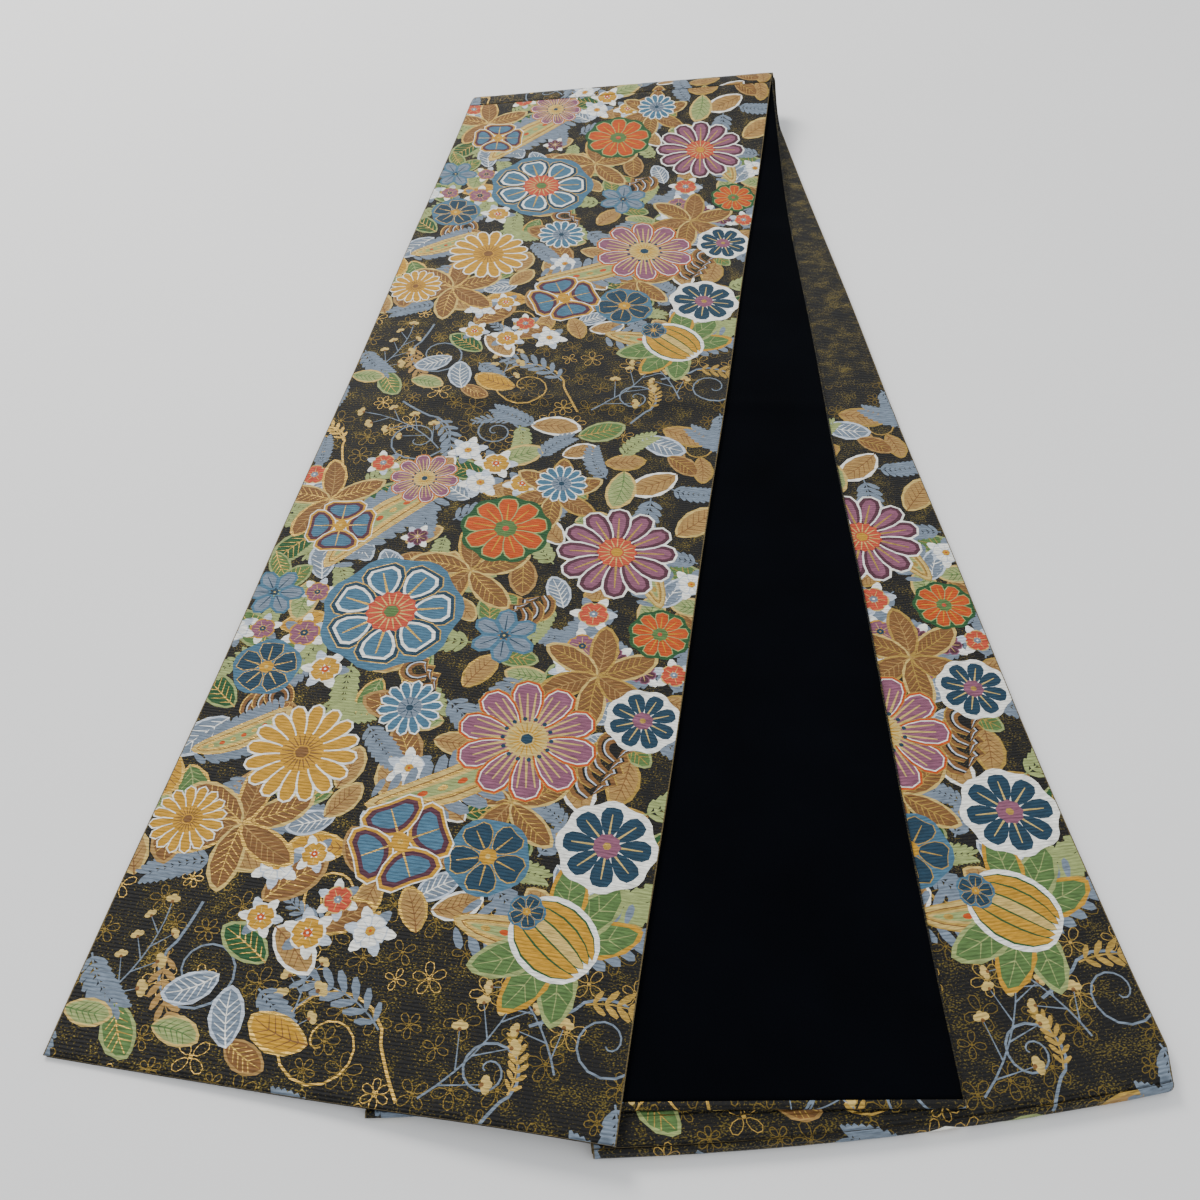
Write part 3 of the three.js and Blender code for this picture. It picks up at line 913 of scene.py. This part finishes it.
def makePanel(name, corners, step, place, front, back, repeatShapes=(), plainFrom=None,
              rimYarn="selvedge"):
    # a closed thin wall of cloth: patterned front, side walls and a plain back
    coords, tris, colours, lifts = triangulate(corners, step, repeatShapes, plainFrom)
    if np.cross(coords[tris[0][1]] - coords[tris[0][0]], coords[tris[0][2]] - coords[tris[0][0]]) < 0:
        tris = tris[:, ::-1]
    used, inverse = np.unique(tris, return_inverse=True)
    tris = inverse.reshape(tris.shape)
    coords = coords[used]
    lift = np.zeros(len(coords))
    share = np.zeros(len(coords))
    for corner in range(3):
        np.add.at(lift, tris[:, corner], lifts)
        np.add.at(share, tris[:, corner], 1)
    lift = lift / share
    rim = rimOf(tris.tolist())
    lift[rim] = 0
    low, high = boundsOf(corners)
    backStep = max(step * 2, 9.0)
    loose = [Vector((u, v))
             for u in np.arange(low[0] + backStep / 2, high[0], backStep)
             for v in np.arange(low[1] + backStep / 2, high[1], backStep)]
    ring2d = [Vector(coords[i]) for i in rim]
    out = delaunay_2d_cdt(ring2d + loose, [], [list(range(len(rim)))], 0, 1e-5, True)
    backCoords = np.array([tuple(p) for p in out[0]])
    backTris = np.array([t for t, owners in zip(out[2], out[5]) if 0 in owners])
    rimBack = {}
    for new, olds in enumerate(out[3]):
        for old in olds:
            if old < len(rim):
                rimBack[old] = new
    keep, inverse = np.unique(backTris, return_inverse=True)
    renumber = {int(old): k for k, old in enumerate(keep)}
    backTris = inverse.reshape(backTris.shape)
    backCoords = backCoords[keep]
    if np.cross(backCoords[backTris[0][1]] - backCoords[backTris[0][0]],
                backCoords[backTris[0][2]] - backCoords[backTris[0][0]]) > 0:
        backTris = backTris[:, ::-1]
    n = len(coords)
    walls = []
    for k in range(len(rim)):
        a, b = rim[k], rim[(k + 1) % len(rim)]
        c, d = n + renumber[rimBack[(k + 1) % len(rim)]], n + renumber[rimBack[k]]
        walls += [(a, d, c), (a, c, b)]
    allTris = np.concatenate([tris, np.array(walls), backTris + n])
    allCoords = np.concatenate([coords, backCoords])
    faceUp = front > back
    # only a face that shows has raised floats; one that lies on something stays flat
    height = np.concatenate([front + lift * faceUp, np.full(len(backCoords), back)])
    points = place(allCoords[:, 0], allCoords[:, 1], height) * mm
    yarnOf = np.concatenate([colours, np.full(len(walls) + len(backTris), yarnNames.index(rimYarn))])
    if not faceUp:
        allTris = allTris[:, ::-1]
    return buildMesh(name, points, allTris, allCoords, yarnOf, (low, high), len(tris), len(walls))


def toLinear(code):
    values = [int(code[i:i + 2], 16) / 255 for i in (1, 3, 5)]
    return [v / 12.92 if v <= 0.04045 else ((v + 0.055) / 1.055) ** 2.4 for v in values]


def buildMesh(name, points, tris, coords, yarnOf, box, fronts, walls):
    mesh = bpy.data.meshes.new(name)
    mesh.vertices.add(len(points))
    mesh.vertices.foreach_set("co", points.ravel())
    mesh.loops.add(tris.size)
    mesh.loops.foreach_set("vertex_index", tris.ravel().astype(np.int32))
    mesh.polygons.add(len(tris))
    mesh.polygons.foreach_set("loop_start", np.arange(0, tris.size, 3, dtype=np.int32))
    mesh.update(calc_edges=True)
    # the side walls meet the front at a hard edge
    side = np.zeros(len(tris), bool)
    side[fronts:fronts + walls] = True
    mesh.polygons.foreach_set("use_smooth", ~side)
    corner = tris.ravel()
    # cut coordinates in metres, which the weave follows, and a map with no overlaps for baking
    weave = mesh.uv_layers.new(name="cut")
    weave.data.foreach_set("uv", (coords[corner] * mm).ravel())
    bake = mesh.uv_layers.new(name="OFBake")
    low, high = np.array(box[0]), np.array(box[1])
    span = (high - low).max() * 1.04
    flat = (coords[corner] - low) / span + 0.01
    width = (high[0] - low[0]) / span + 0.02
    isBack = np.repeat(np.arange(len(tris)) >= fronts + walls, 3)
    flat[isBack, 0] += width
    wallCorner = np.repeat(side, 3)
    order = np.arange(walls).repeat(3) / max(walls, 1)
    flat[wallCorner, 0] = 2 * width + 0.01 + 0.004 * (np.arange(walls * 3) % 3)
    flat[wallCorner, 1] = order
    flat = flat / np.array([2 * width + 0.05, 1.03])
    bake.data.foreach_set("uv", np.clip(flat, 0, 1).ravel())
    mesh.uv_layers.active = weave
    table = np.array([toLinear(yarns[y][0]) + [yarns[y][1]] for y in yarnNames])
    thread = mesh.color_attributes.new("thread", "FLOAT_COLOR", "CORNER")
    thread.data.foreach_set("color", table[np.repeat(yarnOf, 3)].ravel())
    ground = np.zeros((len(yarnNames), 4))
    ground[:, 3] = 1
    ground[yarnNames.index("ground"), 0] = 1
    ground[yarnNames.index("plain"), 1] = 1
    kind = mesh.color_attributes.new("weaveKind", "FLOAT_COLOR", "CORNER")
    kind.data.foreach_set("color", ground[np.repeat(yarnOf, 3)].ravel())
    mesh.validate()
    piece = bpy.data.objects.new(name, mesh)
    bpy.context.scene.collection.objects.link(piece)
    print(f"{name}: {len(tris)} triangles")
    return piece


def addNode(tree, kind, settings=None, links=None):
    # settings go to a property or, if the node has no such property, to the input of that name
    node = tree.nodes.new(kind)
    for key, value in (settings or {}).items():
        if isinstance(key, str) and hasattr(node, key):
            setattr(node, key, value)
        else:
            node.inputs[key].default_value = value
    for key, source in (links or {}).items():
        tree.links.new(source, node.inputs[key])
    return node


def newMaterial(name):
    material = bpy.data.materials.new(name)
    material.use_nodes = True
    tree = material.node_tree
    tree.nodes.clear()
    out = addNode(tree, "ShaderNodeOutputMaterial")
    return material, tree, out


def waveScale(spacing):
    # the wave texture's scale for a spacing in mm, on cloth coordinates in metres
    return 1000 / spacing / (2 * math.pi)


brocadeLook = {
    "weftSpacing": 1.1,  # mm; the real floats are 0.4 mm apart, drawn coarser so that they show
    "fleckSize": 0.9,  # mm, the gold specks of the ground
    "dashStretch": 1.5,  # how much longer a speck is across the cloth than along it
    "mottleSize": 14.0,  # mm, the clouds in which the specks gather
    "banksPerMetre": 75.0,  # the same clouds on the plain length
    "slubsPerMetre": 900.0,  # thick and thin places of a yarn
    "fleckColour": "#746530",
    "fleckShare": 0.8,  # how much of a speck is gold
    "bump": 0.8,
    "silkRoughness": 0.66,
    "goldRoughness": 0.38,
}


def figuredSilkBrocade():
    # Figured silk brocade: dyed silk floats on a black ground with gold-leaf thread. The silk
    # is matt to softly lustrous, and the gold glints in short broken dashes along the weft.
    look = brocadeLook
    material, tree, out = newMaterial("figuredSilkBrocade")
    uv = addNode(tree, "ShaderNodeUVMap", {"uv_map": "cut"})
    thread = addNode(tree, "ShaderNodeAttribute", {"attribute_name": "thread"})
    kind = addNode(tree, "ShaderNodeAttribute", {"attribute_name": "weaveKind"})
    parts = addNode(tree, "ShaderNodeSeparateColor", None, {"Color": kind.outputs["Color"]})
    # gold specks: short dashes, longer across than along
    dash = addNode(tree, "ShaderNodeMapping", {"Scale": (1 / look["dashStretch"], 1.0, 1.0)},
                   {"Vector": uv.outputs[0]})
    fleck = addNode(tree, "ShaderNodeTexNoise", {"Scale": 1000 / look["fleckSize"], "Detail": 2.0},
                    {"Vector": dash.outputs[0]})
    cloud = addNode(tree, "ShaderNodeTexNoise", {"Scale": 1000 / look["mottleSize"], "Detail": 3.0},
                    {"Vector": uv.outputs[0]})
    # on the plain length the clouds are large and run across the cloth
    broad = addNode(tree, "ShaderNodeMapping", {"Scale": (0.7, 1.1, 1.0)}, {"Vector": uv.outputs[0]})
    bank = addNode(tree, "ShaderNodeTexNoise",
                   {"Scale": look["banksPerMetre"], "Detail": 5.0, "Roughness": 0.7},
                   {"Vector": broad.outputs[0]})
    sumGround = addNode(tree, "ShaderNodeMath", {"operation": "MULTIPLY_ADD", 1: 0.55},
                        {0: cloud.outputs[0], 2: fleck.outputs[0]})
    speckGround = addNode(tree, "ShaderNodeMapRange", {"From Min": 0.83, "From Max": 0.95},
                          {"Value": sumGround.outputs[0]})
    sumPlain = addNode(tree, "ShaderNodeMath", {"operation": "MULTIPLY_ADD", 1: 1.1},
                       {0: bank.outputs[0], 2: fleck.outputs[0]})
    speckPlain = addNode(tree, "ShaderNodeMapRange", {"From Min": 1.06, "From Max": 1.3},
                         {"Value": sumPlain.outputs[0]})
    onGround = addNode(tree, "ShaderNodeMath", {"operation": "MULTIPLY"},
                       {0: speckGround.outputs[0], 1: parts.outputs[0]})
    onPlain = addNode(tree, "ShaderNodeMath", {"operation": "MULTIPLY"},
                      {0: speckPlain.outputs[0], 1: parts.outputs[1]})
    speck = addNode(tree, "ShaderNodeMath", {"operation": "ADD"},
                    {0: onGround.outputs[0], 1: onPlain.outputs[0]})
    speckSoft = addNode(tree, "ShaderNodeMath", {"operation": "MULTIPLY", 1: look["fleckShare"]},
                        {0: speck.outputs[0]})
    # each yarn varies along its float
    streak = addNode(tree, "ShaderNodeMapping", {"Scale": (0.16, 1.0, 1.0)}, {"Vector": uv.outputs[0]})
    slub = addNode(tree, "ShaderNodeTexNoise", {"Scale": look["slubsPerMetre"], "Detail": 3.0},
                   {"Vector": streak.outputs[0]})
    shade = addNode(tree, "ShaderNodeMapRange",
                    {"From Min": 0.3, "From Max": 0.7, "To Min": 0.62, "To Max": 1.3},
                    {"Value": slub.outputs[0]})
    tinted = addNode(tree, "ShaderNodeVectorMath", {"operation": "SCALE"},
                     {0: thread.outputs["Color"], "Scale": shade.outputs[0]})
    goldColour = toLinear(look["fleckColour"]) + [1.0]
    colour = addNode(tree, "ShaderNodeMix", {"data_type": "RGBA", 7: goldColour},
                     {0: speckSoft.outputs[0], 6: tinted.outputs[0]})
    metal = addNode(tree, "ShaderNodeMath", {"operation": "MAXIMUM"},
                    {0: thread.outputs["Alpha"], 1: speckSoft.outputs[0]})
    rough = addNode(tree, "ShaderNodeMapRange",
                    {"To Min": look["silkRoughness"], "To Max": look["goldRoughness"]},
                    {"Value": metal.outputs[0]})
    # the weave: weft ribs broken up by noise
    rib = addNode(tree, "ShaderNodeTexWave",
                  {"bands_direction": "Y", "Scale": waveScale(look["weftSpacing"]),
                   "Distortion": 1.2, "Detail": 1.0, "Detail Scale": 3.0},
                  {"Vector": uv.outputs[0]})
    grain = addNode(tree, "ShaderNodeMath", {"operation": "MULTIPLY_ADD", 1: 0.6},
                    {0: slub.outputs[0], 2: rib.outputs["Fac"]})
    height = addNode(tree, "ShaderNodeMath", {"operation": "MULTIPLY_ADD", 1: 0.8},
                     {0: speck.outputs[0], 2: grain.outputs[0]})
    bump = addNode(tree, "ShaderNodeBump", {"Strength": look["bump"], "Distance": 0.0005},
                   {"Height": height.outputs[0]})
    shader = addNode(tree, "ShaderNodeBsdfPrincipled", {"Sheen Weight": 0.02, "Specular IOR Level": 0.22},
                     {"Base Color": colour.outputs[2], "Metallic": metal.outputs[0],
                      "Roughness": rough.outputs[0], "Normal": bump.outputs[0]})
    tree.links.new(shader.outputs[0], out.inputs[0])
    return material


liningLook = {"colour": "#030407", "warpSpacing": 1.0, "roughness": 0.95, "bump": 0.25}


def plainWovenLining():
    # Plain-woven silk, dyed black: flat and matt, with the faintest blue cast.
    look = liningLook
    material, tree, out = newMaterial("plainWovenLining")
    uv = addNode(tree, "ShaderNodeUVMap", {"uv_map": "cut"})
    fine = addNode(tree, "ShaderNodeTexNoise", {"Scale": 1000 / look["warpSpacing"], "Detail": 2.0},
                   {"Vector": uv.outputs[0]})
    worn = addNode(tree, "ShaderNodeTexNoise", {"Scale": 14.0, "Detail": 4.0}, {"Vector": uv.outputs[0]})
    mixed = addNode(tree, "ShaderNodeMath", {"operation": "MULTIPLY_ADD", 1: 0.6},
                    {0: fine.outputs[0], 2: worn.outputs[0]})
    shade = addNode(tree, "ShaderNodeMapRange",
                    {"From Min": 0.5, "From Max": 1.1, "To Min": 0.65, "To Max": 1.35},
                    {"Value": mixed.outputs[0]})
    base = addNode(tree, "ShaderNodeRGB")
    base.outputs[0].default_value = toLinear(look["colour"]) + [1.0]
    colour = addNode(tree, "ShaderNodeVectorMath", {"operation": "SCALE"},
                     {0: base.outputs[0], "Scale": shade.outputs[0]})
    warp = addNode(tree, "ShaderNodeTexWave",
                   {"bands_direction": "X", "Scale": waveScale(look["warpSpacing"]), "Distortion": 0.6},
                   {"Vector": uv.outputs[0]})
    height = addNode(tree, "ShaderNodeMath", {"operation": "MULTIPLY_ADD", 1: 0.5},
                     {0: fine.outputs[0], 2: warp.outputs["Fac"]})
    bump = addNode(tree, "ShaderNodeBump", {"Strength": look["bump"], "Distance": 0.0003},
                   {"Height": height.outputs[0]})
    shader = addNode(tree, "ShaderNodeBsdfPrincipled",
                     {"Roughness": look["roughness"], "Sheen Weight": 0.0, "Specular IOR Level": 0.03},
                     {"Base Color": colour.outputs[0], "Normal": bump.outputs[0]})
    tree.links.new(shader.outputs[0], out.inputs[0])
    return material


def cornersOf(name, inset, from0=0.0):
    a = half - inset
    return [(-a, from0), (a, from0), (a, float(lengthOf(name, a))), (-a, float(lengthOf(name, -a)))]


def stretchPlace(name):
    return lambda u, v, h: stretchPoint(name, u, v, h)


foldLength = {"left": 46.0, "right": 96.0}  # mm of cloth in each far fold, at its two edges
foldEnds = (0.004, 0.996)  # share of a fold, so that it stays just clear of the stretches


def foldCorners(inset):
    a = half - inset
    return [(-a, 0.0), (a, 0.0), (a, foldLength["right"]), (-a, foldLength["left"])]


def foldPlace(upper, lower, sign=1):
    def place(u, v, h):
        length = foldLength["left"] + (foldLength["right"] - foldLength["left"]) * (u + half) / (2 * half)
        return farFoldPoint(upper, lower, u, np.clip(v / length, *foldEnds), sign * h)
    return place


def shifted(shapesIn, dv):
    return [(points + np.array([0, dv]), yarn, lift) for points, yarn, lift in shapesIn]


print("drawing the pattern")
fineRepeat = drawRepeat(True)
coarseRepeat = drawRepeat(False)
print(f"{len(fineRepeat)} shapes in a repeat")

brocade = figuredSilkBrocade()
lining = plainWovenLining()
inner = cloth["layerGap"] / 2
farPly = (inner + cloth["ply"] + cloth["plyGap"], inner + layer)
closePly = (inner, inner + cloth["ply"])


def finishPiece(piece, node, material):
    piece.data.materials.append(material)
    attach(piece, "root")
    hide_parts(node)


def meanLength(name):
    return float(lengthOf(name, 0.0))


# How the pieces are cut: mm between the points inside a panel, so that each follows its bends.
cutting = {
    "shownStep": 9.0,
    "hiddenStep": 14.0,
    "outerFoldStep": 4.0,
    "innerFoldStep": 5.0,
    "rollStep": 1.6,
    "liningSteps": {"top": 12.0, "third": 16.0, "second": 5.0, "under": 16.0},
    "nearLiningStep": 2.5,
    "plainFrom": 570.0,  # where the flowers stop on the third stretch
}

print("weaving the face")
topFace = makePanel("topBrocade", cornersOf("top", 0), cutting["shownStep"], stretchPlace("top"),
                    facePly[1], facePly[0], fineRepeat)
finishPiece(topFace, "topFace", brocade)

thirdFace = makePanel("thirdBrocade", cornersOf("third", 0), cutting["shownStep"], stretchPlace("third"),
                      facePly[1], facePly[0], fineRepeat, cutting["plainFrom"])
finishPiece(thirdFace, "thirdFace", brocade)

underFace = makePanel("underBrocade", cornersOf("under", 0), cutting["hiddenStep"], stretchPlace("under"),
                      0.0, cloth["ply"], coarseRepeat)
finishPiece(underFace, "underFace", brocade)

secondFace = makePanel("secondBrocade", cornersOf("second", 0), cutting["hiddenStep"],
                       stretchPlace("second"), 0.0, cloth["ply"], (), 0.0, "plain")
finishPiece(secondFace, "secondFace", brocade)

outerFold = makePanel("outerFarFoldBrocade", foldCorners(0), cutting["outerFoldStep"],
                      foldPlace("top", "under"), farPly[1], farPly[0],
                      shifted(fineRepeat, -meanLength("top") % cloth["repeat"]))
finishPiece(outerFold, "outerFarFoldFace", brocade)

innerFold = makePanel("innerFarFoldBrocade", foldCorners(0), cutting["innerFoldStep"],
                      foldPlace("second", "third", -1), farPly[1], farPly[0], (), 0.0, "plain")
finishPiece(innerFold, "innerFarFoldFace", brocade)

nearRoll = 10.0  # mm of cloth round the near fold


def nearPlace(u, v, h):
    return nearFoldPoint(u, math.pi * (v / nearRoll - 0.5), h)


nearCorners = [(-half, 0.0), (half, 0.0), (half, nearRoll), (-half, nearRoll)]
nearFace = makePanel("nearFoldBrocade", nearCorners, cutting["rollStep"], nearPlace, facePly[1],
                     facePly[0], shifted(fineRepeat, nearRoll))
finishPiece(nearFace, "nearFoldFace", brocade)

# The turned end of the second stretch; roll is the mm of face cloth in it.
hem = {"depth": 4.0, "height": 3.0, "roll": 9.0, "gap": 0.3, "outside": 1.0, "inside": 0.4}


def hemPlace(u, v, h):
    # the face cloth rolled over the end of the lining
    along = axesOf("second")[1]
    x, y = inPlan("second", u, 0 * u)
    turn = math.pi * (v / hem["roll"] - 0.5)
    reach = hem["gap"] + (hem["depth"] - 1) * np.cos(turn) + h * np.cos(turn)
    under = underside("second", x, y)
    z = under + layer / 2 + waves(x, y) * np.clip(under / (3 * pitch), 0, 1)
    rise = (hem["height"] / 2 - 1 + h) * np.sin(turn)
    return np.stack([x - along[0] * reach, y - along[1] * reach, z + rise], -1)


hemCorners = [(-half, 0.0), (half, 0.0), (half, hem["roll"]), (-half, hem["roll"])]
endHem = makePanel("endHemBrocade", hemCorners, cutting["rollStep"], hemPlace, hem["outside"],
                   hem["inside"], shifted(fineRepeat, -30.0))
finishPiece(endHem, "secondEndHem", brocade)

print("cutting the lining")
for name in ("top", "third", "second", "under"):
    # the lining lies under the face where the face is up, and over it where the face is down
    front, back = liningPly if name in ("top", "third") else facePly[::-1]
    panel = makePanel(f"{name}LiningCloth", cornersOf(name, cloth["liningInset"]),
                      cutting["liningSteps"][name], stretchPlace(name), front, back)
    finishPiece(panel, f"{name}Lining", lining)

for node, upper, lower, sign in (("outerFarFoldLining", "top", "under", 1),
                                 ("innerFarFoldLining", "second", "third", -1)):
    panel = makePanel(f"{node}Cloth", foldCorners(cloth["liningInset"]), cutting["innerFoldStep"],
                      foldPlace(upper, lower, sign), closePly[0], closePly[1])
    finishPiece(panel, node, lining)

nearInset = [(math.copysign(half - cloth["liningInset"], u), v) for u, v in nearCorners]
nearLining = makePanel("nearFoldLiningCloth", nearInset, cutting["nearLiningStep"], nearPlace,
                       liningPly[0], liningPly[1])
finishPiece(nearLining, "nearFoldLining", lining)


studio = {
    "camera": (-1.5, -704.0, 650.0),  # mm
    "pitchDown": 50.0,
    "lens": 36.0,
    "sensor": 36.0,
    "tableColour": "#dddcda",
    "tableHalf": 4.0,  # m
    "tableDrop": 0.0002,  # m, so that the cloth and the table don't share a plane
    "keyPower": 62.0,
    "fillPower": 6.0,
    "worldStrength": 1.16,
    "worldColour": (0.93, 0.96, 1.0, 1.0),
}

print("setting the camera, the table and the light")
cameraData = bpy.data.cameras.new("camera")
cameraData.lens = studio["lens"]
cameraData.sensor_width = studio["sensor"]
camera = bpy.data.objects.new("camera", cameraData)
camera.location = Vector(studio["camera"]) * mm
camera.rotation_euler = (math.radians(90 - studio["pitchDown"]), 0, 0)
bpy.context.scene.collection.objects.link(camera)
bpy.context.scene.camera = camera


def paintedTable():
    # Smooth painted board: pale, matt, with very faint cloudiness.
    material, tree, out = newMaterial("paintedBoard")
    place = addNode(tree, "ShaderNodeTexCoord")
    cloud = addNode(tree, "ShaderNodeTexNoise", {"Scale": 3.0, "Detail": 3.0},
                    {"Vector": place.outputs["Object"]})
    shade = addNode(tree, "ShaderNodeMapRange", {"To Min": 0.97, "To Max": 1.03},
                    {"Value": cloud.outputs[0]})
    base = addNode(tree, "ShaderNodeRGB")
    base.outputs[0].default_value = toLinear(studio["tableColour"]) + [1.0]
    colour = addNode(tree, "ShaderNodeVectorMath", {"operation": "SCALE"},
                     {0: base.outputs[0], "Scale": shade.outputs[0]})
    shader = addNode(tree, "ShaderNodeBsdfPrincipled", {"Roughness": 0.7, "Specular IOR Level": 0.2},
                     {"Base Color": colour.outputs[0]})
    tree.links.new(shader.outputs[0], out.inputs[0])
    return material


tableMesh = bpy.data.meshes.new("table")
size = studio["tableHalf"]
tableCorners = [(-size, -size, 0), (size, -size, 0), (size, size, 0), (-size, size, 0)]
tableMesh.from_pydata(tableCorners, [], [(0, 1, 2, 3)])
table = bpy.data.objects.new("table", tableMesh)
table.location.z = -studio["tableDrop"]
tableMesh.materials.append(paintedTable())
bpy.context.scene.collection.objects.link(table)


def areaLight(name, place, aim, size, power, colour):
    data = bpy.data.lights.new(name, "AREA")
    data.shape = "DISK"
    data.size = size
    data.energy = power
    data.color = colour
    light = bpy.data.objects.new(name, data)
    light.location = place
    light.rotation_euler = (Vector(aim) - Vector(place)).to_track_quat("-Z", "Y").to_euler()
    bpy.context.scene.collection.objects.link(light)


areaLight("window", (-1.1, 1.5, 1.9), (0.0, 0.1, 0.0), 1.1, studio["keyPower"], (1.0, 0.98, 0.96))
areaLight("room", (1.4, -1.2, 1.6), (0.0, 0.0, 0.0), 2.0, studio["fillPower"], (0.96, 0.98, 1.0))

world = bpy.data.worlds.new("world")
world.use_nodes = True
background = world.node_tree.nodes["Background"]
background.inputs[0].default_value = studio["worldColour"]
background.inputs[1].default_value = studio["worldStrength"]
bpy.context.scene.world = world
